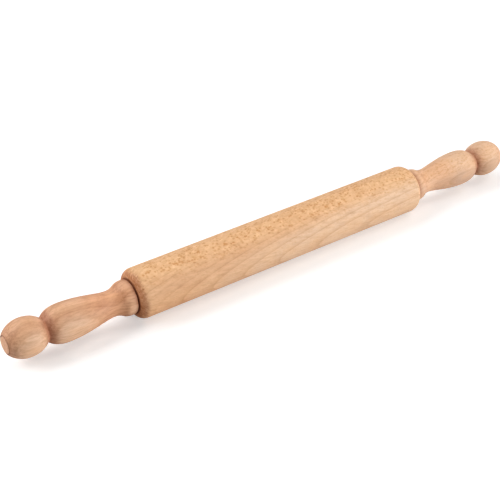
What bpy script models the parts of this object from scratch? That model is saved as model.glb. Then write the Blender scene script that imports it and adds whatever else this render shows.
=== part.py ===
"""Wooden rolling pin with two revolving handles.

The pin lies along X with its middle over the origin, on the surface z = 0. It has five turned pieces: the roller,
two handles, and two headed pegs. Each peg is glued into a blind bore in the roller's end. Its handle turns freely
on it, and the peg's head, in a counterbore in the handle's ball end, keeps the handle on.
"""

import bpy
from math import atan2, cos, pi, radians, sin, sqrt
from mathutils import Quaternion, Vector
from mathutils.geometry import interpolate_bezier

# All sizes are in metres.

# Roller
ROLLER_DIAMETER = 0.050
ROLLER_LENGTH = 0.343
ROLLER_END_ROUND = 0.009

# Handle, as the stretches along its length from the roller outwards, and its diameter where each one ends
COLLAR_LENGTH = 0.0042
COVE_LENGTH = 0.0175
GRIP_LENGTH = 0.0469
FALL_LENGTH = 0.0209
BALL_LENGTH = 0.0377
COLLAR_DIAMETER = 0.0346
WAIST_DIAMETER = 0.0255
SWELL_DIAMETER = 0.0372
NECK_DIAMETER = 0.0233
BALL_DIAMETER = 0.0374
COLLAR_ROUND = 0.0012

# How long each curve runs level as it leaves its first station and reaches its last, as shares of its length
COVE_LEVEL = (0.50, 0.58)
GRIP_LEVEL = (0.19, 0.44)
FALL_LEVEL = (0.80, 0.10)

# Headed peg
PEG_DIAMETER = 0.012
PEG_SHOULDER = 0.0023
PEG_HEAD_LENGTH = 0.012
PEG_HEAD_PROUD = 0.0005
PEG_HEAD_ROUND = 0.0006
TENON_LENGTH = 0.045
TENON_CHAMFER = 0.0012

# Bores
MOUTH_CHAMFER = 0.0004
MOUTH_LAND = 0.0004
BORE_SPARE = 0.003
DRILL_POINT_ANGLE = radians(118)

# Clearances
RUNNING_CLEARANCE = 0.0004
HEAD_CLEARANCE = 0.0005
SHOULDER_CLEARANCE = 0.0003
ROLLER_CLEARANCE = 0.0008
GLUE_CLEARANCE = 0.0003

# Flat sides round each turned piece, and straight steps along each curve of its outline
ROLLER_SIDES = 32
HANDLE_SIDES = 48
PEG_SIDES = 32
END_ROUND_STEPS = 7
BALL_STEPS = 12
CURVE_STEPS = 8
BEAD_STEPS = 4
HEAD_ROUND_STEPS = 3

MERGE_DISTANCE = 0.00001
SHARP_ANGLE = radians(35)

# Roughness of the sanded wood, and its colours in linear light
ROUGHNESS = 0.55
ROLLER_COLOUR = (0.78, 0.51, 0.29)
HANDLE_COLOUR = (0.68, 0.40, 0.22)
PEG_COLOUR = (0.66, 0.36, 0.24)

# Sizes that follow from the ones above
ROLLER_RADIUS = ROLLER_DIAMETER / 2
PEG_RADIUS = PEG_DIAMETER / 2
PEG_HEAD_RADIUS = PEG_RADIUS + PEG_SHOULDER
HANDLE_BORE_RADIUS = PEG_RADIUS + RUNNING_CLEARANCE
COUNTERBORE_RADIUS = PEG_HEAD_RADIUS + HEAD_CLEARANCE
COUNTERBORE_DEPTH = PEG_HEAD_LENGTH + SHOULDER_CLEARANCE - PEG_HEAD_PROUD
TENON_BORE_RADIUS = PEG_RADIUS + GLUE_CLEARANCE
TENON_BORE_DEPTH = TENON_LENGTH + BORE_SPARE
HANDLE_LENGTH = COLLAR_LENGTH + COVE_LENGTH + GRIP_LENGTH + FALL_LENGTH + BALL_LENGTH
SHANK_LENGTH = ROLLER_CLEARANCE + HANDLE_LENGTH + PEG_HEAD_PROUD - PEG_HEAD_LENGTH

# The roller lies on the middle of one of its flat sides
AXIS_HEIGHT = ROLLER_RADIUS * cos(pi / ROLLER_SIDES)


def point(radius, along):
    """A point of a turned outline: its distance from the axis, and its place along the axis."""
    return Vector((radius, along))


def arc(centre, radius_out, radius_along, start, end, steps):
    """Part of an ellipse about centre; an angle of 0 points away from the axis, and 90 degrees along it."""
    angles = [start + (end - start) * i / steps for i in range(steps + 1)]
    return [centre + point(radius_out * cos(a), radius_along * sin(a)) for a in angles]


def round_corner(radius, top, size, steps):
    """Quarter circle from a flat top down to a straight side."""
    return arc(point(radius - size, top - size), size, size, pi / 2, 0, steps)


def level_curve(start, end, level, steps):
    """Smooth curve from start to end that runs level with the axis at both."""
    length = point(0, end.y - start.y)
    return interpolate_bezier(start, start + length * level[0], end - length * level[1], end, steps + 1)


def blind_bore(radius, depth, mouth):
    """Outline of a drilled hole from its point to its chamfered mouth, at the place mouth on the axis."""
    drill_point = radius / sin(DRILL_POINT_ANGLE / 2) * cos(DRILL_POINT_ANGLE / 2)
    return [
        point(0, mouth - depth - drill_point),
        point(radius, mouth - depth),
        point(radius, mouth - MOUTH_CHAMFER),
        point(radius + MOUTH_CHAMFER, mouth),
    ]


def upside_down(outline):
    """The same outline turned end for end, in reverse order, so that it still runs from top to bottom."""
    return [point(p.x, -p.y) for p in reversed(outline)]


def roller_outline():
    """A straight barrel with rounded ends and a blind bore for a peg in each."""
    half = ROLLER_LENGTH / 2
    bore = blind_bore(TENON_BORE_RADIUS, TENON_BORE_DEPTH, half)
    end_round = min(ROLLER_END_ROUND, ROLLER_RADIUS - bore[-1].x - MOUTH_LAND)
    top = bore + round_corner(ROLLER_RADIUS, half, end_round, END_ROUND_STEPS)
    return top + upside_down(top)


def ball_outline():
    """The ball from the flat round the counterbore's mouth to the neck, an ellipse in section."""
    radius = BALL_DIAMETER / 2
    flat = (COUNTERBORE_RADIUS + MOUTH_CHAMFER + MOUTH_LAND) / radius
    neck = NECK_DIAMETER / BALL_DIAMETER
    flat_along = sqrt(1 - flat ** 2)
    neck_along = sqrt(1 - neck ** 2)
    half_length = BALL_LENGTH / (flat_along + neck_along)
    centre = point(0, HANDLE_LENGTH - half_length * flat_along)
    return arc(centre, radius, half_length, atan2(flat_along, flat), -atan2(neck_along, neck), BALL_STEPS)


def handle_outline():
    """A closed outline: down the outside from the ball to the collar, then back up the stepped bore."""
    collar = point(COLLAR_DIAMETER / 2, COLLAR_LENGTH)
    waist = point(WAIST_DIAMETER / 2, collar.y + COVE_LENGTH)
    swell = point(SWELL_DIAMETER / 2, waist.y + GRIP_LENGTH)
    neck = point(NECK_DIAMETER / 2, swell.y + FALL_LENGTH)
    fall = level_curve(neck, swell, FALL_LEVEL[::-1], CURVE_STEPS)
    grip = level_curve(swell, waist, GRIP_LEVEL[::-1], CURVE_STEPS)
    cove = level_curve(waist, collar, COVE_LEVEL[::-1], CURVE_STEPS)
    bead = arc(collar - point(COLLAR_ROUND, 0), COLLAR_ROUND, COLLAR_LENGTH, 0, -pi / 2, BEAD_STEPS)
    step = HANDLE_LENGTH - COUNTERBORE_DEPTH
    bore = [
        point(HANDLE_BORE_RADIUS + MOUTH_CHAMFER, 0),
        point(HANDLE_BORE_RADIUS, MOUTH_CHAMFER),
        point(HANDLE_BORE_RADIUS, step),
        point(COUNTERBORE_RADIUS, step),
        point(COUNTERBORE_RADIUS, HANDLE_LENGTH - MOUTH_CHAMFER),
        point(COUNTERBORE_RADIUS + MOUTH_CHAMFER, HANDLE_LENGTH),
    ]
    return ball_outline() + fall[1:] + grip[1:] + cove[1:] + bead[1:] + bore


def peg_outline():
    """Head, shank and chamfered tenon, with the origin where the peg enters the roller."""
    top = SHANK_LENGTH + PEG_HEAD_LENGTH
    return [
        point(0, top),
        *round_corner(PEG_HEAD_RADIUS, top, PEG_HEAD_ROUND, HEAD_ROUND_STEPS),
        point(PEG_HEAD_RADIUS, SHANK_LENGTH),
        point(PEG_RADIUS, SHANK_LENGTH),
        point(PEG_RADIUS, TENON_CHAMFER - TENON_LENGTH),
        point(PEG_RADIUS - TENON_CHAMFER, -TENON_LENGTH),
        point(0, -TENON_LENGTH),
    ]


def wood(name, colour):
    """Plain sanded wood of one colour."""
    material = bpy.data.materials.new(name)
    material.use_nodes = True
    shader = material.node_tree.nodes["Principled BSDF"]
    shader.inputs["Base Color"].default_value = (*colour, 1)
    shader.inputs["Roughness"].default_value = ROUGHNESS
    shader.inputs["Metallic"].default_value = 0
    return material


def turned(name, outline, closed, sides, colour):
    """A solid of revolution about the object's own Z, from half of its section."""
    section = bpy.data.meshes.new(name + "_section")
    edges = [(i, i + 1) for i in range(len(outline) - 1)]
    if closed:
        edges.append((len(outline) - 1, 0))
    section.from_pydata([(p.x, 0, p.y) for p in outline], edges, [])
    piece = bpy.data.objects.new(name, section)
    collection.objects.link(piece)

    screw = piece.modifiers.new("turning", "SCREW")
    screw.axis = "Z"
    screw.angle = 2 * pi
    screw.steps = sides
    screw.render_steps = sides
    screw.use_merge_vertices = True
    screw.merge_threshold = MERGE_DISTANCE

    depsgraph = bpy.context.evaluated_depsgraph_get()
    piece.data = bpy.data.meshes.new_from_object(piece.evaluated_get(depsgraph))
    piece.data.name = name
    piece.modifiers.clear()
    bpy.data.meshes.remove(section)
    piece.data.shade_smooth()
    piece.data.set_sharp_from_angle(angle=SHARP_ANGLE)
    piece.data.materials.append(wood(name, colour))
    return piece


def lay(piece, side, distance, sides):
    """Lay a turned piece on the pin's axis, its top pointing to that side, with a flat side down."""
    along_x = Quaternion((0, 1, 0), side * pi / 2)
    flat_down = Quaternion((0, 0, 1), pi / sides)
    piece.rotation_mode = "QUATERNION"
    piece.rotation_quaternion = along_x @ flat_down
    piece.location = (side * distance, 0, AXIS_HEIGHT)


def make_roller():
    roller = turned("roller", roller_outline(), False, ROLLER_SIDES, ROLLER_COLOUR)
    lay(roller, 1, 0, ROLLER_SIDES)


def make_peg(name, side):
    peg = turned(name, peg_outline(), False, PEG_SIDES, PEG_COLOUR)
    lay(peg, side, ROLLER_LENGTH / 2, PEG_SIDES)


def make_handle(name, side):
    handle = turned(name, handle_outline(), True, HANDLE_SIDES, HANDLE_COLOUR)
    lay(handle, side, ROLLER_LENGTH / 2 + ROLLER_CLEARANCE, HANDLE_SIDES)


for old in list(bpy.data.objects):
    bpy.data.objects.remove(old, do_unlink=True)

collection = bpy.data.collections.new("rolling_pin")
bpy.context.scene.collection.children.link(collection)

make_roller()
for end_name, end_side in (("left", -1), ("right", 1)):
    make_peg(end_name + "_peg", end_side)
    make_handle(end_name + "_handle", end_side)
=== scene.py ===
"""Wooden rolling pin with revolving handles: its turned pieces in beech, on a pale floor in soft light.

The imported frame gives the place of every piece. The pin lies along X with its right handle at +X. Each piece is drawn
as half of its section above the pin's axis, and spun round it. The wood is a solid pattern, so the growth rings, rays
and pores run through each piece as they do through a board, and every surface shows its own cut of them.
"""

from math import atan2, cos, pi, radians, sin, sqrt

import bpy
from bpy.props import FloatProperty, FloatVectorProperty, IntProperty, PointerProperty
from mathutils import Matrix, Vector
from mathutils.geometry import interpolate_bezier


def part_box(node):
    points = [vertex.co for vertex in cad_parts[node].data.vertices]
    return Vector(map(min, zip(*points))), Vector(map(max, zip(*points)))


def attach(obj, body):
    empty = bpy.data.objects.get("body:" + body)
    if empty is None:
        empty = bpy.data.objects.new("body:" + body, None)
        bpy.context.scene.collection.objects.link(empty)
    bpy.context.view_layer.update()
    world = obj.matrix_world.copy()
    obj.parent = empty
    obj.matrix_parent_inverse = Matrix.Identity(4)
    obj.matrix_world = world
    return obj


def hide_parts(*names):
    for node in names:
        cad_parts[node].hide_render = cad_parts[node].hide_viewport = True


bl_info = {
    "name": "Rolling Pin",
    "version": (1, 0, 0),
    "blender": (4, 5, 0),
    "location": "3D View > Sidebar > Rolling Pin",
    "description": "Turns the roller, handles and pegs of a wooden rolling pin and finishes them in beech",
    "category": "Object",
}

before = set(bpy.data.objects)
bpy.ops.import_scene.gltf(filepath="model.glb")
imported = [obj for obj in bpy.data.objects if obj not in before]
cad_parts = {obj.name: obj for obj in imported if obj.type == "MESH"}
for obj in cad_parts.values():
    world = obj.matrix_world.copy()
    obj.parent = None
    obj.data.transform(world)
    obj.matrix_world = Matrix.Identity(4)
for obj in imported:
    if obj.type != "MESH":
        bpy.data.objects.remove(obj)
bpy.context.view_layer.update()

ROLLER_LOW, ROLLER_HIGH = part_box("roller")
HANDLE_LOW, HANDLE_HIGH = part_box("right_handle")
PEG_LOW, PEG_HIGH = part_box("right_peg")
AXIS_HEIGHT = (ROLLER_LOW.z + ROLLER_HIGH.z) / 2

# Straight steps along each curve of an outline
END_ROUND_STEPS = 18
BALL_STEPS = 36
CURVE_STEPS = 26
BEAD_STEPS = 8
HEAD_ROUND_STEPS = 6

# How long each curve of a handle runs level as it starts and as it ends, as shares of its length
COVE_LEVEL = (0.50, 0.58)
GRIP_LEVEL = (0.19, 0.44)
FALL_LEVEL = (0.80, 0.10)

# Points that lie closer than the merge distance become one. An outline grows from a plane of the seed's size that is
# merged to a point.
MERGE_DISTANCE = 0.000002
SEED_SIZE = 100 * MERGE_DISTANCE
SOFTENING_STEPS = 3
SHARP_ANGLE = radians(35)
DRILL_POINT_ANGLE = radians(118)

# The board that each piece was cut from. Lengths are in metres, and a tint is a factor each for red, green and blue.
#
# bark_side is the angle, from straight up towards the viewer, at which the surface faces the bark. pith is how far
# the pith lies from the pin's axis, ring is the width of a year, and start is the count of the rings at the axis,
# which also sets how strong each of them is. Towards the right the rings come nearer the pith, by drift times the
# distance and bow times its square, and the fibres lean round the pith by twist per metre. Depths are measured from
# the pin's axis towards the bark: from outer down to inner, the wood takes on the heartwood tint. On the right
# handle that tint is painted shade, which darkens its lower front.
#
# tones says how much the years differ, and rings, rays, lines and streaks how strongly those marks show. ends says
# how much the surfaces that face left and right darken: end grain, with painted shade in the difference between the
# two. The value after it says how strongly painted shade darkens the neck and the hollow beside the gap, and held how
# much warmer the tone is where hands hold the piece.
BOARDS = {
    "roller": {
        "bark_side": 108, "pith": 0.060, "ring": 0.00358, "start": 692.355,
        "drift": 0.075, "bow": -0.146, "twist": 0.12,
        "inner": 0.011, "outer": 0.024, "heart_and_shade": (0.93, 0.79, 0.655),
        "tones": 0.07, "rings": 0.80, "rays": 1.00, "lines": 0.40, "streaks": 0.50,
        "ends": (1.5, 0.3), "hollow_shade": 0.0, "held": 0.0,
    },
    "left_handle": {
        "bark_side": 98, "pith": 0.060, "ring": 0.0050, "start": 4393.9,
        "drift": -0.019, "bow": 0.0, "twist": 0.03,
        "inner": 0.010, "outer": 0.017, "heart_and_shade": (0.95, 0.87, 0.845),
        "tones": 0.70, "rings": 0.60, "rays": 0.12, "lines": 0.65, "streaks": 0.80,
        "ends": (0.7, 0.4), "hollow_shade": 0.68, "held": 1.0,
    },
    # The right handle's heartwood tint is painted shade on its lower front
    "right_handle": {
        "bark_side": -82, "pith": 0.045, "ring": 0.0045, "start": 0.4,
        "drift": -0.030, "bow": 0.50, "twist": 0.10,
        "inner": -0.020, "outer": -0.008, "heart_and_shade": (0.80, 0.76, 0.75),
        "tones": 0.10, "rings": 0.60, "rays": 0.55, "lines": 0.35, "streaks": 0.35,
        "ends": (0.8, 1.0), "hollow_shade": 0.80, "held": 0.8,
    },
    "pegs": {
        "bark_side": 20, "pith": 0.030, "ring": 0.0026, "start": 0.0,
        "drift": 0.010, "bow": 0.0, "twist": 0.02,
        "inner": -0.004, "outer": 0.020, "heart_and_shade": (0.99, 0.88, 0.70),
        "tones": 0.10, "rings": 0.60, "rays": 0.30, "lines": 0.50, "streaks": 0.70,
        "ends": (0.3, 0.3), "hollow_shade": 0.0, "held": 0.0,
    },
}

# The values of a board that its figure is made from, as they are for a plain board
BOARD_SOCKETS = {
    "Pith": 0.06,
    "Ring": 0.004,
    "Start": 0.0,
    "Drift": 0.0,
    "Bow": 0.0,
    "Twist": 0.0,
    "Inner": 0.0,
    "Outer": 0.02,
}

# How fine each mark of the wood is, as repeats per metre along the fibres, out from the pith and round it
WAVERS_PER_METRE = (9, 38, 38)
RAYS_PER_METRE = (330, 420, 1250)
RAY_CROWDS_PER_METRE = (75, 75, 140)
DAPPLES_PER_METRE = (220, 240, 700)
STREAKS_PER_METRE = (50, 520, 520)
LINES_PER_METRE = (70, 45, 520)
PORES_PER_METRE = (520, 7000, 7000)
PATCHES_PER_METRE = (45, 90, 90)
SCRATCHES_PER_METRE = (5200, 90, 90)
TOOL_MARKS_PER_METRE = (420, 6, 6)

# How far a waver of the fibres moves them, out from the pith and round it, in metres
WAVER_OUT = 0.0009
WAVER_ROUND = 0.003

# How the surface lies to the rings where the rays show least and most: 1 faces the bark, and 0 is square to it
RAY_ZONE = (0.85, 0.45)

# The distances, in metres, at which the painted shade in the gaps and hollows, and the warmer tone where a handle is
# held, end and are full
GAP_REACH = (0.0012, 0.0005)  # along the pin, from the middle of the gap beside the roller
COLLAR_REACH = (0.0016, -0.0004)  # outwards from the collar's edge
BALL_END_REACH = (0.0003, -0.0003)  # along the pin, from the ball's end
COUNTERBORE_REACH = (-0.016, -0.013)  # along the pin, from the ball's end
MOUTH_REACH = (0.0094, 0.0090)  # outwards from the pin's axis
NECK_TO_GRIP_REACH = (-0.016, 0.0)  # along the pin, from the neck
NECK_TO_BALL_REACH = (0.009, 0.0)  # along the pin, from the neck
HOLLOW_REACH = (0.010, 0.0)  # along the pin, from the middle of the gap
HOLD_REACH = (0.034, 0.008)  # along the pin, from the place that is held
HOLD_PAST_WAIST = 0.007

# Tints beside the early wood's own colour, as factors for its red, green and blue
PATCH_TINT = (1.03, 0.96, 0.84)
RAY_ZONE_TINT = (1.05, 0.94, 0.74)
LIGHT_DAPPLE_TINT = (1.13, 1.09, 0.93)
DARK_DAPPLE_TINT = (0.93, 0.775, 0.55)

# What a mark leaves of the red, green and blue under it where it is strongest
YEAR_MARK = (0.66, 0.54, 0.46)
LATE_WOOD_MARK = (0.78, 0.65, 0.54)
STREAK_MARK = (0.79, 0.71, 0.64)
LINE_MARK = (0.80, 0.70, 0.63)
PORE_MARK = (0.70, 0.60, 0.52)
RAY_MARK = (0.79, 0.60, 0.38)
# End grain, with painted shade where one end is darkened more than the other
END_GRAIN_AND_SHADE_MARK = (0.69, 0.51, 0.46)
HELD_MARK = (1.0, 0.91, 0.84)
# Painted shade in the neck and in the hollow beside the gap
HOLLOW_SHADE_MARK = (0.60, 0.41, 0.35)
# Painted shade in the gap beside the roller and round the peg's head
GAP_SHADE_MARK = (0.32, 0.19, 0.14)

# How fully the pores and the painted shade in the gaps show
PORE_DEPTH = 0.30
GAP_SHADE_DEPTH = 0.85

# Roughness and shine of sanded beech, and what the marks add to its roughness
ROUGHNESS = 0.56
PORE_ROUGHNESS = 0.12
RAY_ROUGHNESS = -0.10
END_GRAIN_ROUGHNESS = 0.10
WOOD_IOR = 1.45
WOOD_SHINE = 0.35

# What the marks add to the height of the sanding marks, and the depth of that relief in metres and its strength
PORE_RELIEF = -0.8
LATE_WOOD_RELIEF = 0.5
RELIEF_DEPTH = 0.00004
RELIEF_STRENGTH = 0.35

# Floor, its sizes in metres, and the grit in its paint, as repeats per metre and as a factor of its colour
FLOOR_SIDES = 128
FLOOR_RADIUS = 5
FLOOR_THICKNESS = 0.3
FLOOR_RIM_ROUND = 0.25
FLOOR_RIM_STEPS = 12
FLOOR_ROUGHNESS = 0.9
GRIT_PER_METRE = (60, 60, 60)
GRIT_SHADE = 0.985

# How brightly the camera sees the floor glow near the pin and far from it, and the distances where it does so
FLOOR_GLOW = (0.42, 1.0)
GLOW_REACH = (1.0, 2.4)

# Each lamp's place and width, in metres, and the point that they all shine at
LAMPS = {
    "front_lamp": ((2.4, -3.0, 0.75), 2.55),
    "left_lamp": ((-1.8, 0.9, 1.6), 1.7),
    "back_lamp": ((0, 1.3, 2.3), 1.7),
    "top_lamp": ((1.3, -0.7, 2.2), 1.7),
}
LAMP_TARGET = Vector((0, 0, 0.02))

# Camera's place in metres, its turn, and its lens and sensor in millimetres
CAMERA_PLACE = (-0.62516, -0.82531, 0.69137)
CAMERA_TURN = (radians(56.65), 0, radians(-35.57))
LENS = 89.0
SENSOR_WIDTH = 36.0


def size(name, description, default):
    """A length that the user may change, in metres."""
    return FloatProperty(name=name, description=description, default=default, min=0, unit="LENGTH", precision=4)


def share(name, description, default):
    """A strength or a proportion from 0 to 1."""
    return FloatProperty(name=name, description=description, default=default, min=0, max=1, subtype="FACTOR")


def colour(name, description, default):
    return FloatVectorProperty(name=name, description=description, default=default, min=0, max=1, subtype="COLOR")


def power(name, description, default):
    return FloatProperty(name=name, description=description, default=default, min=0, unit="POWER")


class RollingPinRoller(bpy.types.PropertyGroup):
    """Sizes of the roller."""

    diameter: size("Diameter", "Thickness of the roller", ROLLER_HIGH.z - ROLLER_LOW.z)
    length: size("Length", "Length of the roller", ROLLER_HIGH.x - ROLLER_LOW.x)
    end_round: size("End round", "Radius of the rounded edge at each end", 0.009)
    bore_diameter: size("Bore", "Width of the blind bore for each peg", 0.0126)
    bore_depth: size("Bore depth", "Depth of the blind bore for each peg", 0.048)


class RollingPinHandle(bpy.types.PropertyGroup):
    """Sizes of a handle, as the stretches along it from the roller outwards, and its thickness where each ends."""

    start: size("Start", "Distance from the middle of the pin to the handle", HANDLE_LOW.x)
    collar_length: size("Collar length", "Length of the rounded collar beside the roller", 0.0042)
    cove_length: size("Cove length", "Length of the hollow between the collar and the waist", 0.0175)
    grip_length: size("Grip length", "Length from the waist to the thickest place of the grip", 0.0469)
    fall_length: size("Fall length", "Length from the thickest place of the grip to the neck", 0.0209)
    ball_length: size("Ball length", "Length of the ball, from the neck to its flat end", 0.0377)
    collar_diameter: size("Collar", "Thickness of the collar", 0.0346)
    waist_diameter: size("Waist", "Thickness of the waist", 0.0255)
    swell_diameter: size("Swell", "Thickness of the grip at its thickest place", 0.0372)
    neck_diameter: size("Neck", "Thickness of the neck between the grip and the ball", 0.0233)
    ball_diameter: size("Ball", "Thickness of the ball", 0.0374)
    collar_round: size("Collar round", "Width of the collar's rounded edge", 0.0012)
    bore_diameter: size("Bore", "Width of the bore that turns on the peg", 0.0128)
    counterbore_diameter: size("Counterbore", "Width of the recess for the peg's head", 0.0176)
    counterbore_depth: size("Counterbore depth", "Depth of the recess for the peg's head", 0.0118)
    mouth_chamfer: size("Mouth chamfer", "Width of the bevel round each mouth of the bore", 0.0004)
    mouth_land: size("Mouth land", "Width of the flat between the mouth and the ball", 0.0004)
    softening: size("Softening", "How much sandpaper took off each sharp edge", 0.00015)


class RollingPinPeg(bpy.types.PropertyGroup):
    """Sizes of a headed peg."""

    start: size("Start", "Distance from the middle of the pin to the inner end of the peg", PEG_LOW.x)
    end: size("End", "Distance from the middle of the pin to the face of the head", PEG_HIGH.x)
    diameter: size("Diameter", "Thickness of the shank and tenon", 0.012)
    head_diameter: size("Head", "Width of the head", 0.0166)
    head_length: size("Head length", "Length of the head", 0.012)
    head_round: size("Head round", "Radius of the rounded edge of the head's face", 0.0006)
    tenon_chamfer: size("Tenon chamfer", "Width of the bevel at the inner end", 0.0012)


class RollingPinWood(bpy.types.PropertyGroup):
    """Colours and strengths of the beech finish."""

    roller_colour: colour("Roller", "Colour of the roller's early wood", (0.863, 0.590, 0.388))
    left_colour: colour("Left handle", "Colour of the left handle's early wood", (0.890, 0.586, 0.391))
    right_colour: colour("Right handle", "Colour of the right handle's early wood", (0.839, 0.566, 0.391))
    peg_colour: colour("Pegs", "Colour of the pegs' early wood", (0.86, 0.56, 0.43))
    ring_depth: share("Late wood", "How much the edge of each growth ring darkens", 1.0)
    ray_depth: share("Rays", "How dark the short brown flecks are", 0.9)
    line_depth: share("Lines", "How strongly the fine lines between the flecks show", 1.0)
    streak_depth: share("Streaks", "How strongly the fine streaks along the grain vary", 0.75)
    end_depth: share("End grain", "How much darker the wood is where its fibres are cut across", 0.7)


class RollingPinStage(bpy.types.PropertyGroup):
    """The floor, the light and the resolution of the turning."""

    floor_colour: colour("Floor", "Colour of the floor", (0.80, 0.80, 0.80))
    room_light: share("Room light", "Brightness of the light from all round", 0.02)
    front_lamp: power("Front lamp", "Power of the large low lamp on the viewer's right", 133.0)
    left_lamp: power("Left lamp", "Power of the high lamp behind the left handle", 44.5)
    back_lamp: power("Back lamp", "Power of the high lamp behind the roller", 16.0)
    top_lamp: power("Top lamp", "Power of the lamp above the right handle", 20.0)
    roller_sides: IntProperty(name="Roller sides", description="Flat sides round the roller", default=192, min=24)
    handle_sides: IntProperty(name="Handle sides", description="Flat sides round each handle", default=160, min=24)
    peg_sides: IntProperty(name="Peg sides", description="Flat sides round each peg", default=96, min=16)


class RollingPinSettings(bpy.types.PropertyGroup):
    """Everything about the pin that the user may change."""

    roller: PointerProperty(type=RollingPinRoller)
    handle: PointerProperty(type=RollingPinHandle)
    peg: PointerProperty(type=RollingPinPeg)
    wood: PointerProperty(type=RollingPinWood)
    stage: PointerProperty(type=RollingPinStage)


# Outlines. A point is a distance along the pin from its middle, and a distance out from its axis.


def point(along, out):
    return Vector((along, out))


def arc(centre, half_length, half_width, start, end, steps):
    """Part of an ellipse; an angle of 0 points away from the axis, and 90 degrees along it."""
    angles = [start + (end - start) * i / steps for i in range(steps + 1)]
    return [centre + point(half_length * sin(a), half_width * cos(a)) for a in angles]


def level_curve(start, end, start_level, end_level):
    """Smooth curve that runs level with the axis at both ends, for these shares of its length."""
    length = point(end.x - start.x, 0)
    handles = (start + length * start_level, end - length * end_level)
    return interpolate_bezier(start, *handles, end, CURVE_STEPS + 1)


def roller_outline(roller, chamfer):
    """From the bottom of the left bore, over the barrel, to the bottom of the right bore."""
    end, bore = roller.length / 2, roller.bore_diameter / 2
    corner = point(end - roller.end_round, roller.diameter / 2 - roller.end_round)
    drill_point = bore * cos(DRILL_POINT_ANGLE / 2) / sin(DRILL_POINT_ANGLE / 2)
    right = arc(corner, roller.end_round, roller.end_round, 0, pi / 2, END_ROUND_STEPS) + [
        point(end, bore + chamfer),
        point(end - chamfer, bore),
        point(end - roller.bore_depth, bore),
        point(end - roller.bore_depth - drill_point, 0),
    ]
    left = [point(-p.x, p.y) for p in reversed(right)]
    return left + right


def ball_outline(handle, end):
    """The ball from the neck to the flat round the mouth of the counterbore, an ellipse in section."""
    radius = handle.ball_diameter / 2
    flat = (handle.counterbore_diameter / 2 + handle.mouth_chamfer + handle.mouth_land) / radius
    neck = handle.neck_diameter / handle.ball_diameter
    flat_along, neck_along = sqrt(1 - flat**2), sqrt(1 - neck**2)
    half_length = handle.ball_length / (flat_along + neck_along)
    centre = point(end - half_length * flat_along, 0)
    return arc(centre, half_length, radius, -atan2(neck_along, neck), atan2(flat_along, flat), BALL_STEPS)


def handle_outline(handle):
    """Closed outline: the outside from the collar to the ball, then back along the stepped bore."""
    collar = point(handle.start + handle.collar_length, handle.collar_diameter / 2)
    waist = point(collar.x + handle.cove_length, handle.waist_diameter / 2)
    swell = point(waist.x + handle.grip_length, handle.swell_diameter / 2)
    neck = point(swell.x + handle.fall_length, handle.neck_diameter / 2)
    end = neck.x + handle.ball_length
    centre = collar - point(0, handle.collar_round)
    bead = arc(centre, handle.collar_length, handle.collar_round, -pi / 2, 0, BEAD_STEPS)
    outside = (
        bead
        + level_curve(collar, waist, *COVE_LEVEL)[1:]
        + level_curve(waist, swell, *GRIP_LEVEL)[1:]
        + level_curve(swell, neck, *FALL_LEVEL)[1:]
        + ball_outline(handle, end)[1:]
    )
    bore, counterbore = handle.bore_diameter / 2, handle.counterbore_diameter / 2
    chamfer, step = handle.mouth_chamfer, end - handle.counterbore_depth
    inside = [
        point(end, counterbore + chamfer),
        point(end - chamfer, counterbore),
        point(step, counterbore),
        point(step, bore),
        point(handle.start + chamfer, bore),
        point(handle.start, bore + chamfer),
    ]
    return outside + inside


def peg_outline(peg):
    """From the inner end on the axis, along the shank, to the middle of the head's face."""
    radius, head = peg.diameter / 2, peg.head_diameter / 2
    corner = point(peg.end - peg.head_round, head - peg.head_round)
    return [
        point(peg.start, 0),
        point(peg.start, radius - peg.tenon_chamfer),
        point(peg.start + peg.tenon_chamfer, radius),
        point(peg.end - peg.head_length, radius),
        point(peg.end - peg.head_length, head),
        *arc(corner, peg.head_round, peg.head_round, 0, pi / 2, HEAD_ROUND_STEPS),
        point(peg.end, 0),
    ]


# Turning


def edit_all(mode):
    """Enter edit mode on the active object with everything selected, in that select mode."""
    bpy.ops.object.mode_set(mode="EDIT")
    bpy.ops.mesh.select_mode(type=mode)
    bpy.ops.mesh.select_all(action="SELECT")


def turn(name, outline, closed, sides, softening):
    """Draw half of a section above the axis, spin it into a solid, and soften its sharp edges."""
    stations = [Vector((p.x, 0, AXIS_HEIGHT + p.y)) for p in outline]
    bpy.ops.object.select_all(action="DESELECT")
    bpy.ops.mesh.primitive_plane_add(size=SEED_SIZE, location=stations[0])
    piece = bpy.context.object
    piece.name = piece.data.name = name
    bpy.ops.object.transform_apply(location=True, rotation=True, scale=True)

    edit_all("VERT")
    bpy.ops.mesh.merge(type="CENTER")
    for here, there in zip(stations, stations[1:]):
        bpy.ops.mesh.extrude_region_move(TRANSFORM_OT_translate={"value": there - here})
    if closed:
        bpy.ops.mesh.extrude_region_move(TRANSFORM_OT_translate={"value": stations[0] - stations[-1]})
    bpy.ops.mesh.select_all(action="SELECT")
    bpy.ops.mesh.remove_doubles(threshold=MERGE_DISTANCE)
    bpy.ops.mesh.spin(steps=sides, angle=2 * pi, center=(0, 0, AXIS_HEIGHT), axis=(1, 0, 0))
    bpy.ops.mesh.select_all(action="SELECT")
    bpy.ops.mesh.remove_doubles(threshold=MERGE_DISTANCE)
    bpy.ops.mesh.normals_make_consistent(inside=False)
    bpy.ops.object.mode_set(mode="OBJECT")

    soften = piece.modifiers.new("soft edges", "BEVEL")
    soften.width = softening
    soften.segments = SOFTENING_STEPS
    soften.limit_method = "ANGLE"
    soften.angle_limit = SHARP_ANGLE
    bpy.ops.object.modifier_apply(modifier=soften.name)
    bpy.ops.object.shade_smooth_by_angle(angle=SHARP_ANGLE)
    return piece


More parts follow.
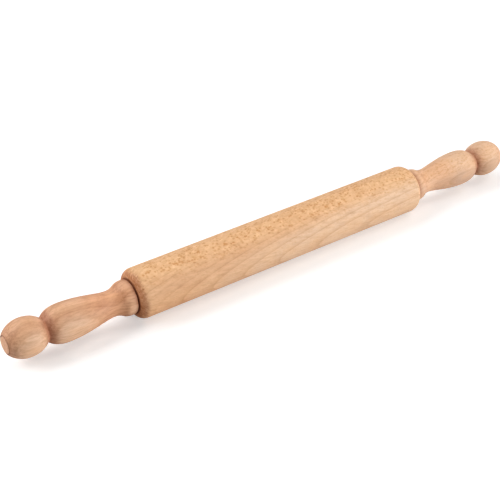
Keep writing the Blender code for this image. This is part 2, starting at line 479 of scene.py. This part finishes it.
def turn_end_for_end(piece, name):
    """A copy of a piece of the right end, turned half round the upright through the pin's middle."""
    bpy.ops.object.select_all(action="DESELECT")
    piece.select_set(True)
    bpy.context.view_layer.objects.active = piece
    bpy.ops.object.duplicate(linked=False)
    copy = bpy.context.object
    copy.name = copy.data.name = name
    bpy.ops.transform.rotate(value=pi, orient_axis="Z", center_override=(0, 0, 0))
    bpy.ops.object.transform_apply(location=True, rotation=True, scale=True)
    return copy


def stand_for(piece, node, body, material):
    """Give a piece its finish and put it in the place of its node in the frame."""
    piece.data.materials.clear()
    piece.data.materials.append(material)
    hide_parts(node)
    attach(piece, body)


# Nodes


def add(tree, kind, inputs=None, **settings):
    """A new node of that kind, its inputs set or linked by name or number."""
    node = tree.nodes.new("ShaderNode" + kind)
    for name, value in settings.items():
        setattr(node, name, value)
    for key, value in (inputs or {}).items():
        if isinstance(value, bpy.types.NodeSocket):
            tree.links.new(value, node.inputs[key])
        else:
            node.inputs[key].default_value = value
    return node


def maths(tree, operation, *values):
    node = add(tree, "Math", dict(enumerate(values)), operation=operation)
    return node.outputs[0]


def times(tree, vector, factors):
    """A position scaled by its own factor along each direction."""
    return add(tree, "VectorMath", {0: vector, 1: factors}, operation="MULTIPLY").outputs[0]


def from_line(tree, across, up):
    """Distance from a straight line, from the distances across and up."""
    squares = maths(tree, "ADD", maths(tree, "POWER", across, 2.0), maths(tree, "POWER", up, 2.0))
    return maths(tree, "SQRT", squares)


def ranged(tree, value, low, high, to_low=0.0, to_high=1.0, smooth=True):
    """A value carried from one range to another and kept inside it."""
    kind = "SMOOTHSTEP" if smooth else "LINEAR"
    inputs = {"Value": value, "From Min": low, "From Max": high, "To Min": to_low, "To Max": to_high}
    return add(tree, "MapRange", inputs, interpolation_type=kind).outputs[0]


def noise(tree, vector, detail=2.0, roughness=0.5):
    inputs = {"Vector": vector, "Scale": 1.0, "Detail": detail, "Roughness": roughness}
    return add(tree, "TexNoise", inputs, noise_dimensions="3D").outputs[0]


def chance_of(tree, number):
    """A value from 0 to 1 that has nothing to do with those of the numbers beside it."""
    return add(tree, "TexWhiteNoise", {"W": number}, noise_dimensions="1D").outputs[0]


def mixed(tree, amount, under, over, blend="MIX"):
    """Two colours, the second laid over the first by that amount."""
    node = add(tree, "Mix", {0: amount, 6: under, 7: over}, data_type="RGBA", blend_type=blend)
    return node.outputs[2]


def new_group(name, vectors, numbers):
    """A shader node group that takes these vectors and numbers, and the sockets that hold them inside it."""
    group = bpy.data.node_groups.new(name, "ShaderNodeTree")
    for socket in vectors:
        group.interface.new_socket(socket, in_out="INPUT", socket_type="NodeSocketVector")
    for socket, default in numbers.items():
        made = group.interface.new_socket(socket, in_out="INPUT", socket_type="NodeSocketFloat")
        made.default_value = default
    return group, group.nodes.new("NodeGroupInput").outputs


def give_out(group, results):
    """The finished group, which puts out each of these values under its name."""
    for socket in results:
        group.interface.new_socket(socket, in_out="OUTPUT", socket_type="NodeSocketFloat")
    given_out = group.nodes.new("NodeGroupOutput").inputs
    for socket, value in results.items():
        group.links.new(value, given_out[socket])
    arrange(group)
    return group


def arrange(tree):
    """Set the nodes out in columns, each to the right of every node that feeds it."""
    column = {node: 0 for node in tree.nodes}
    for _ in tree.nodes:
        for link in tree.links:
            column[link.to_node] = max(column[link.to_node], column[link.from_node] + 1)
    rows = {}
    for node, place in column.items():
        rows[place] = rows.get(place, 0) + 1
        node.location = (place * 220, -rows[place] * 260)


def beech_figure():
    """Rings, rays, streaks and pores of beech, at a place in the board.

    The place and the normal are given in the board's own directions: X along the fibres, Y out towards the bark,
    and Z round the pith. The rings are sheets round the pith. The rays are short upright ribbons that run out from
    it, so they show as flecks where the surface runs out from the pith too, and hardly where it faces the bark.
    """
    group, given = new_group("beech figure", ("Place", "Normal"), BOARD_SOCKETS)
    place = given["Place"]
    along, out, round_pith = add(group, "SeparateXYZ", {0: place}).outputs

    # The place along the fibres, out across the rings and round the pith, as if rings and fibres ran straight
    waver = maths(group, "SUBTRACT", noise(group, times(group, place, WAVERS_PER_METRE)), 0.5)
    from_pith = maths(group, "ADD", out, given["Pith"])
    depth = maths(group, "SUBTRACT", from_line(group, from_pith, round_pith), given["Pith"])
    depth = maths(group, "MULTIPLY_ADD", along, given["Drift"], depth)
    bowed = maths(group, "MULTIPLY", along, given["Bow"])
    depth = maths(group, "MULTIPLY_ADD", along, bowed, depth)
    depth = maths(group, "MULTIPLY_ADD", waver, WAVER_OUT, depth)
    lean = maths(group, "MULTIPLY", along, given["Twist"])
    sideways = maths(group, "MULTIPLY_ADD", waver, WAVER_ROUND, maths(group, "SUBTRACT", round_pith, lean))
    grain = add(group, "CombineXYZ", {0: along, 1: depth, 2: sideways}).outputs[0]

    # flat_sawn is 1 where the surface faces the bark, and end_cut is 1 or -1 where it cuts the fibres across
    outwards = add(group, "CombineXYZ", {0: 0.0, 1: from_pith, 2: round_pith}).outputs[0]
    outwards = add(group, "VectorMath", {0: outwards}, operation="NORMALIZE").outputs[0]
    towards_bark = add(group, "VectorMath", {0: given["Normal"], 1: outwards}, operation="DOT_PRODUCT")
    flat_sawn = maths(group, "ABSOLUTE", towards_bark.outputs["Value"])
    end_cut = add(group, "SeparateXYZ", {0: given["Normal"]}).outputs[0]

    # Late wood is a thin dark edge on each ring, stronger in some years
    rings = maths(group, "ADD", maths(group, "DIVIDE", depth, given["Ring"]), given["Start"])
    in_ring = maths(group, "FRACT", rings)
    late = maths(group, "POWER", in_ring, 4.5)
    late = maths(group, "MULTIPLY", late, ranged(group, in_ring, 1.0, 0.94))
    late = maths(group, "MULTIPLY", late, ranged(group, flat_sawn, 0.35, 0.85, 0.12, 1.0))
    in_year = chance_of(group, maths(group, "ADD", maths(group, "FLOOR", rings), 0.5))
    late = maths(group, "MULTIPLY", late, ranged(group, in_year, 0.0, 0.6, 0.45, 1.0))

    # Each year's tone passes over into the next one's in the middle of a ring
    from_middle = maths(group, "SUBTRACT", rings, 0.5)
    year = maths(group, "FLOOR", from_middle)
    this_year, next_year = chance_of(group, year), chance_of(group, maths(group, "ADD", year, 1.0))
    passed = ranged(group, maths(group, "FRACT", from_middle), 0.15, 0.85)
    tone = add(group, "Mix", {0: passed, 2: this_year, 3: next_year}).outputs[0]

    # Rays are ragged cells, more of them present where they crowd
    ray_place = times(group, grain, RAYS_PER_METRE)
    cells = add(group, "TexVoronoi", {"Vector": ray_place, "Scale": 1.0, "Randomness": 1.0}, feature="F1")
    dapple = noise(group, times(group, grain, DAPPLES_PER_METRE), 3.0)
    from_centre = maths(group, "SUBTRACT", cells.outputs["Distance"], 0.55)
    ray = ranged(group, maths(group, "MULTIPLY_ADD", dapple, 1.1, from_centre), 0.62, 0.22)
    chance = add(group, "SeparateXYZ", {0: cells.outputs["Color"]}).outputs[0]
    crowd = noise(group, times(group, grain, RAY_CROWDS_PER_METRE))
    chance = maths(group, "ADD", chance, maths(group, "MULTIPLY_ADD", crowd, 2.4, -1.2))
    ray = maths(group, "MULTIPLY", ray, ranged(group, chance, 0.10, 0.75))
    ray = maths(group, "MULTIPLY", ray, ranged(group, flat_sawn, *RAY_ZONE, 0.3, 1.0))

    streaks = noise(group, times(group, grain, STREAKS_PER_METRE), 3.0, 0.62)
    pores = noise(group, times(group, grain, PORES_PER_METRE), 1.0)
    results = {
        "Late Wood": late,
        "Ring Tone": tone,
        "Rays": ray,
        "Ray Zone": ranged(group, flat_sawn, *RAY_ZONE),
        "Dapple": dapple,
        "Streaks": streaks,
        "Lines": noise(group, times(group, grain, LINES_PER_METRE), 4.0, 0.7),
        "Pores": ranged(group, pores, 0.58, 0.70),
        "Patches": noise(group, times(group, place, PATCHES_PER_METRE)),
        "Sapwood": ranged(group, depth, given["Inner"], given["Outer"]),
        "End Cut": maths(group, "MULTIPLY", end_cut, ranged(group, streaks, 0.30, 0.70, 0.6, 1.3)),
    }
    return give_out(group, results)


def shade_and_use_marks():
    """Painted shade in the gaps and hollows, and a warmer tone where hands hold the wood.

    The place is given from the middle of the pin's axis. Gap, Hold, Neck and Ball End are distances along the axis,
    to the middle of the gap beside the roller, the place that is held, the neck and the flat end of the ball. Collar
    is the collar's radius, past which the painted shade in the gap fades out.
    """
    sockets = {"Gap": 0.0, "Collar": 0.0, "Hold": 0.0, "Neck": 0.0, "Ball End": 0.0}
    group, given = new_group("marks of use", ("Place",), sockets)
    along, across, up = add(group, "SeparateXYZ", {0: given["Place"]}).outputs
    along = maths(group, "ABSOLUTE", along)
    from_axis = from_line(group, across, up)

    past_gap = maths(group, "ABSOLUTE", maths(group, "SUBTRACT", along, given["Gap"]))
    past_collar = maths(group, "SUBTRACT", from_axis, given["Collar"])
    past_ball = maths(group, "SUBTRACT", along, given["Ball End"])
    past_neck = maths(group, "SUBTRACT", along, given["Neck"])
    past_hold = maths(group, "ABSOLUTE", maths(group, "SUBTRACT", along, given["Hold"]))

    # Painted shade in the gap beside the roller and in the counterbore round the peg's head
    gap = ranged(group, past_gap, *GAP_REACH)
    gap = maths(group, "MULTIPLY", gap, ranged(group, past_collar, *COLLAR_REACH))
    round_head = ranged(group, past_ball, *BALL_END_REACH)
    round_head = maths(group, "MULTIPLY", round_head, ranged(group, past_ball, *COUNTERBORE_REACH))
    round_head = maths(group, "MULTIPLY", round_head, ranged(group, from_axis, *MOUTH_REACH))
    # Painted shade in the neck and in the hollow beside the gap
    neck = ranged(group, past_neck, *NECK_TO_GRIP_REACH)
    neck = maths(group, "MULTIPLY", neck, ranged(group, past_neck, *NECK_TO_BALL_REACH))
    hollow = maths(group, "MAXIMUM", neck, ranged(group, past_gap, *HOLLOW_REACH))
    results = {
        "Gap Grime": maths(group, "MAXIMUM", gap, round_head),
        "Hollow Grime": maths(group, "POWER", hollow, 2.2),
        "Held": ranged(group, past_hold, *HOLD_REACH),
    }
    return give_out(group, results)


def sanding_marks():
    """Height of the fine scratches that sandpaper leaves round a piece as it turns."""
    group, given = new_group("sanding marks", ("Place",), {})
    scratches = noise(group, times(group, given["Place"], SCRATCHES_PER_METRE), 2.0, 0.6)
    tool_marks = noise(group, times(group, given["Place"], TOOL_MARKS_PER_METRE), 1.0)
    return give_out(group, {"Height": maths(group, "MULTIPLY_ADD", tool_marks, 0.7, scratches)})


def shared(make, name):
    """The node group of that name, made the first time that it is wanted."""
    return bpy.data.node_groups.get(name) or make()


def new_material(name):
    """A material without nodes, and its node tree."""
    material = bpy.data.materials.new(name)
    material.use_nodes = True
    material.node_tree.nodes.clear()
    return material, material.node_tree


def beech(name, early_wood, board, middle, pin):
    """Sanded beech of that colour, cut from that board, for a piece with its middle at that place along the pin."""
    wood, handle = pin.wood, pin.handle
    material, tree = new_material(name)

    def strength(value, factor):
        return maths(tree, "MULTIPLY", value, factor)

    def tint(factors):
        """The early wood's colour, its red, green and blue each scaled."""
        return (*(part * factor for part, factor in zip(early_wood, factors)), 1)

    def marked(under, amount, mark):
        """A colour, its red, green and blue each scaled where the mark lies."""
        return mixed(tree, amount, under, (*mark, 1), "MULTIPLY")

    # The place in the board, the way that the surface faces there, and the place from the middle of the pin's axis
    spot = add(tree, "TexCoord").outputs
    to_bark = (radians(90 + board["bark_side"]), 0, 0)
    at_board = {"Vector": spot["Object"], "Location": (middle, 0, AXIS_HEIGHT), "Rotation": to_bark}
    in_board = add(tree, "Mapping", at_board, vector_type="TEXTURE").outputs[0]
    facing = add(tree, "Mapping", {"Vector": spot["Normal"], "Rotation": to_bark}, vector_type="TEXTURE").outputs[0]
    on_pin = add(tree, "Mapping", {"Vector": spot["Object"], "Location": (0, 0, -AXIS_HEIGHT)}).outputs[0]

    given = {"Place": in_board, "Normal": facing}
    given.update((socket, board[socket.lower()]) for socket in BOARD_SOCKETS)
    figure = add(tree, "Group", given, node_tree=shared(beech_figure, "beech figure")).outputs
    sanding = add(tree, "Group", {"Place": in_board}, node_tree=shared(sanding_marks, "sanding marks")).outputs[0]

    waist = handle.start + handle.collar_length + handle.cove_length
    neck = waist + handle.grip_length + handle.fall_length
    given = {
        "Place": on_pin,
        "Gap": (pin.roller.length / 2 + handle.start) / 2,
        "Collar": handle.collar_diameter / 2,
        "Hold": waist + HOLD_PAST_WAIST,
        "Neck": neck,
        "Ball End": neck + handle.ball_length,
    }
    # Painted shade for the gaps and hollows, and the warmer tone where a handle is held
    use = add(tree, "Group", given, node_tree=shared(shade_and_use_marks, "marks of use")).outputs

    # Heartwood and sapwood, with painted shade on the right handle's lower front, then patches, and the light and dark
    # dapple where the rays show
    shade = mixed(tree, figure["Sapwood"], tint(board["heart_and_shade"]), (*early_wood, 1))
    patched = ranged(tree, figure["Patches"], 0.35, 0.65, 0.0, 0.45)
    shade = mixed(tree, patched, shade, tint(PATCH_TINT))
    in_zone = strength(figure["Ray Zone"], board["rays"])
    shade = mixed(tree, strength(in_zone, 0.5), shade, tint(RAY_ZONE_TINT))
    light = strength(in_zone, ranged(tree, figure["Dapple"], 0.50, 0.70, 0.0, 0.6))
    shade = mixed(tree, light, shade, tint(LIGHT_DAPPLE_TINT))
    dark = strength(in_zone, ranged(tree, figure["Dapple"], 0.50, 0.32, 0.0, 0.5))
    shade = mixed(tree, dark, shade, tint(DARK_DAPPLE_TINT))

    # Marks of growth
    shade = marked(shade, strength(figure["Ring Tone"], board["tones"]), YEAR_MARK)
    shade = marked(shade, strength(figure["Late Wood"], wood.ring_depth * board["rings"]), LATE_WOOD_MARK)
    streaked = ranged(tree, figure["Streaks"], 0.40, 0.70, 0.0, wood.streak_depth * board["streaks"])
    shade = marked(shade, streaked, STREAK_MARK)
    lined = ranged(tree, figure["Lines"], 0.42, 0.70, 0.0, wood.line_depth * board["lines"])
    shade = marked(shade, lined, LINE_MARK)
    shade = marked(shade, strength(figure["Pores"], PORE_DEPTH), PORE_MARK)
    shade = marked(shade, strength(figure["Rays"], wood.ray_depth * board["rays"]), RAY_MARK)

    # End grain on the surfaces that face left and right, darker at one end than the other as painted shade
    left_depth, right_depth = (wood.end_depth * amount for amount in board["ends"])
    at_left = ranged(tree, figure["End Cut"], -0.10, -0.90, 0.0, left_depth)
    at_right = ranged(tree, figure["End Cut"], 0.10, 0.90, 0.0, right_depth)
    end_grain_and_shade = maths(tree, "ADD", at_left, at_right)
    shade = marked(shade, end_grain_and_shade, END_GRAIN_AND_SHADE_MARK)

    # Warmer tone where a handle is held, and painted shade in the hollows and gaps
    shade = marked(shade, strength(use["Held"], board["held"]), HELD_MARK)
    # Painted shade in the neck and in the hollow beside the gap
    shade = marked(shade, strength(use["Hollow Grime"], board["hollow_shade"]), HOLLOW_SHADE_MARK)
    # Painted shade in the gap beside the roller and round the peg's head
    shade = marked(shade, strength(use["Gap Grime"], GAP_SHADE_DEPTH), GAP_SHADE_MARK)

    rough = maths(tree, "MULTIPLY_ADD", figure["Pores"], PORE_ROUGHNESS, ROUGHNESS)
    rough = maths(tree, "MULTIPLY_ADD", figure["Rays"], RAY_ROUGHNESS, rough)
    rough = maths(tree, "MULTIPLY_ADD", end_grain_and_shade, END_GRAIN_ROUGHNESS, rough)

    relief = maths(tree, "MULTIPLY_ADD", figure["Pores"], PORE_RELIEF, sanding)
    relief = maths(tree, "MULTIPLY_ADD", figure["Late Wood"], LATE_WOOD_RELIEF, relief)
    bump = add(tree, "Bump", {"Strength": RELIEF_STRENGTH, "Distance": RELIEF_DEPTH, "Height": relief})

    finish = {
        "Base Color": shade,
        "Roughness": rough,
        "Normal": bump.outputs[0],
        "Metallic": 0.0,
        "IOR": WOOD_IOR,
        "Specular IOR Level": WOOD_SHINE,
    }
    add(tree, "OutputMaterial", {"Surface": add(tree, "BsdfPrincipled", finish).outputs[0]})
    arrange(tree)
    return material


# Operators


class RollingPinTurnRoller(bpy.types.Operator):
    """Turn the roller, with its rounded ends and a blind bore in each"""

    bl_idname = "rolling_pin.turn_roller"
    bl_label = "Turn Roller"
    bl_options = {"REGISTER", "UNDO"}

    def execute(self, context):
        pin = context.scene.rolling_pin
        outline = roller_outline(pin.roller, pin.handle.mouth_chamfer)
        roller = turn("turned_roller", outline, False, pin.stage.roller_sides, pin.handle.softening)
        finish = beech("beech_roller", pin.wood.roller_colour, BOARDS["roller"], 0, pin)
        stand_for(roller, "roller", "roller", finish)
        return {"FINISHED"}


class RollingPinTurnHandles(bpy.types.Operator):
    """Turn the two handles, bored through and counterbored for the head of the peg"""

    bl_idname = "rolling_pin.turn_handles"
    bl_label = "Turn Handles"
    bl_options = {"REGISTER", "UNDO"}

    def execute(self, context):
        pin = context.scene.rolling_pin
        outline = handle_outline(pin.handle)
        right = turn("turned_right_handle", outline, True, pin.stage.handle_sides, pin.handle.softening)
        left = turn_end_for_end(right, "turned_left_handle")
        middle = (HANDLE_LOW.x + HANDLE_HIGH.x) / 2
        finish = beech("beech_right_handle", pin.wood.right_colour, BOARDS["right_handle"], middle, pin)
        stand_for(right, "right_handle", "right_handle", finish)
        finish = beech("beech_left_handle", pin.wood.left_colour, BOARDS["left_handle"], -middle, pin)
        stand_for(left, "left_handle", "left_handle", finish)
        return {"FINISHED"}


class RollingPinTurnPegs(bpy.types.Operator):
    """Turn the two headed pegs that are glued into the roller and carry the handles"""

    bl_idname = "rolling_pin.turn_pegs"
    bl_label = "Turn Pegs"
    bl_options = {"REGISTER", "UNDO"}

    def execute(self, context):
        pin = context.scene.rolling_pin
        outline = peg_outline(pin.peg)
        right = turn("turned_right_peg", outline, False, pin.stage.peg_sides, pin.handle.softening)
        left = turn_end_for_end(right, "turned_left_peg")
        finish = beech("beech_pegs", pin.wood.peg_colour, BOARDS["pegs"], 0, pin)
        stand_for(right, "right_peg", "roller", finish)
        stand_for(left, "left_peg", "roller", finish)
        return {"FINISHED"}


class RollingPinSetStage(bpy.types.Operator):
    """Lay the pale floor, light it softly and set up the camera"""

    bl_idname = "rolling_pin.set_stage"
    bl_label = "Set Stage"
    bl_options = {"REGISTER", "UNDO"}

    def execute(self, context):
        stage = context.scene.rolling_pin.stage
        lay_floor(stage)
        light_room(context.scene, stage)
        for name, (place, width) in LAMPS.items():
            hang_lamp(name, place, width, getattr(stage, name))
        set_camera(context.scene)
        context.scene.view_settings.view_transform = "Standard"
        return {"FINISHED"}


def lay_floor(stage):
    """A wide round slab that the pin lies on, with its rim rounded off."""
    bpy.ops.object.select_all(action="DESELECT")
    under = (0, 0, -FLOOR_THICKNESS)
    bpy.ops.mesh.primitive_circle_add(vertices=FLOOR_SIDES, radius=FLOOR_RADIUS, fill_type="NGON", location=under)
    floor = bpy.context.object
    floor.name = floor.data.name = "floor"
    bpy.ops.object.transform_apply(location=True, rotation=True, scale=True)
    edit_all("FACE")
    bpy.ops.mesh.extrude_region_move(TRANSFORM_OT_translate={"value": (0, 0, FLOOR_THICKNESS)})
    bpy.ops.object.mode_set(mode="OBJECT")
    rim = floor.modifiers.new("rounded rim", "BEVEL")
    rim.width = FLOOR_RIM_ROUND
    rim.segments = FLOOR_RIM_STEPS
    rim.limit_method = "ANGLE"
    bpy.ops.object.modifier_apply(modifier=rim.name)
    bpy.ops.object.shade_smooth_by_angle(angle=SHARP_ANGLE)

    paint, tree = new_material("floor_paint")
    spot = add(tree, "TexCoord").outputs["Object"]
    grit = noise(tree, times(tree, spot, GRIT_PER_METRE), 4.0)
    darker = (*(part * GRIT_SHADE for part in stage.floor_colour), 1)
    from_pin = add(tree, "VectorMath", {0: spot}, operation="LENGTH").outputs["Value"]
    glow = ranged(tree, from_pin, *GLOW_REACH, *FLOOR_GLOW)
    seen = add(tree, "LightPath").outputs["Is Camera Ray"]
    finish = {
        "Base Color": mixed(tree, grit, (*stage.floor_colour, 1), darker),
        "Roughness": FLOOR_ROUGHNESS,
        "Specular IOR Level": 0.0,
        "Emission Color": (1, 1, 1, 1),
        "Emission Strength": maths(tree, "MULTIPLY", seen, glow),
    }
    add(tree, "OutputMaterial", {"Surface": add(tree, "BsdfPrincipled", finish).outputs[0]})
    arrange(tree)
    floor.data.materials.append(paint)


def light_room(scene, stage):
    """Even light from all round, with a white background behind the object."""
    room = bpy.data.worlds.new("room")
    room.use_nodes = True
    scene.world = room
    tree = room.node_tree
    tree.nodes.clear()
    path = add(tree, "LightPath").outputs
    seen = maths(tree, "MAXIMUM", path["Is Camera Ray"], path["Is Transmission Ray"])
    seen = maths(tree, "MAXIMUM", seen, path["Is Glossy Ray"])
    strength = ranged(tree, seen, 0, 1, stage.room_light, 1.0, smooth=False)
    walls = add(tree, "Background", {"Color": (1, 1, 1, 1), "Strength": strength})
    add(tree, "OutputWorld", {"Surface": walls.outputs[0]})
    arrange(tree)


def hang_lamp(name, place, width, watts):
    """A large soft lamp that shines at the middle of the pin."""
    bpy.ops.object.light_add(type="AREA", location=place)
    lamp = bpy.context.object
    lamp.name = lamp.data.name = name
    lamp.data.shape = "DISK"
    lamp.data.size = width
    lamp.data.energy = watts
    lamp.rotation_euler = (LAMP_TARGET - lamp.location).to_track_quat("-Z", "Y").to_euler()


def set_camera(scene):
    """A long lens above the left handle, so that the pin crosses the picture from lower left to upper right."""
    bpy.ops.object.camera_add(location=CAMERA_PLACE, rotation=CAMERA_TURN)
    camera = bpy.context.object
    camera.name = camera.data.name = "camera"
    camera.data.lens = LENS
    camera.data.sensor_width = SENSOR_WIDTH
    scene.camera = camera


class RollingPinPanel(bpy.types.Panel):
    """The pin's sizes, colours and pieces in the sidebar"""

    bl_idname = "VIEW3D_PT_rolling_pin"
    bl_label = "Rolling Pin"
    bl_space_type = "VIEW_3D"
    bl_region_type = "UI"
    bl_category = "Rolling Pin"

    def draw(self, context):
        pin = context.scene.rolling_pin
        for operator, groups in PANEL_ROWS:
            box = self.layout.box()
            for group in groups:
                settings = getattr(pin, group)
                for name in settings.__annotations__:
                    box.prop(settings, name)
            box.operator(operator.bl_idname)


PANEL_ROWS = (
    (RollingPinTurnRoller, ("roller",)),
    (RollingPinTurnHandles, ("handle",)),
    (RollingPinTurnPegs, ("peg", "wood")),
    (RollingPinSetStage, ("stage",)),
)

CLASSES = (
    RollingPinRoller,
    RollingPinHandle,
    RollingPinPeg,
    RollingPinWood,
    RollingPinStage,
    RollingPinSettings,
    RollingPinTurnRoller,
    RollingPinTurnHandles,
    RollingPinTurnPegs,
    RollingPinSetStage,
    RollingPinPanel,
)


def register():
    for made in CLASSES:
        bpy.utils.register_class(made)
    bpy.types.Scene.rolling_pin = PointerProperty(type=RollingPinSettings)


def unregister():
    del bpy.types.Scene.rolling_pin
    for made in reversed(CLASSES):
        bpy.utils.unregister_class(made)


def main():
    register()
    bpy.ops.rolling_pin.turn_roller()
    bpy.ops.rolling_pin.turn_handles()
    bpy.ops.rolling_pin.turn_pegs()
    bpy.ops.rolling_pin.set_stage()


if __name__ == "__main__":
    main()
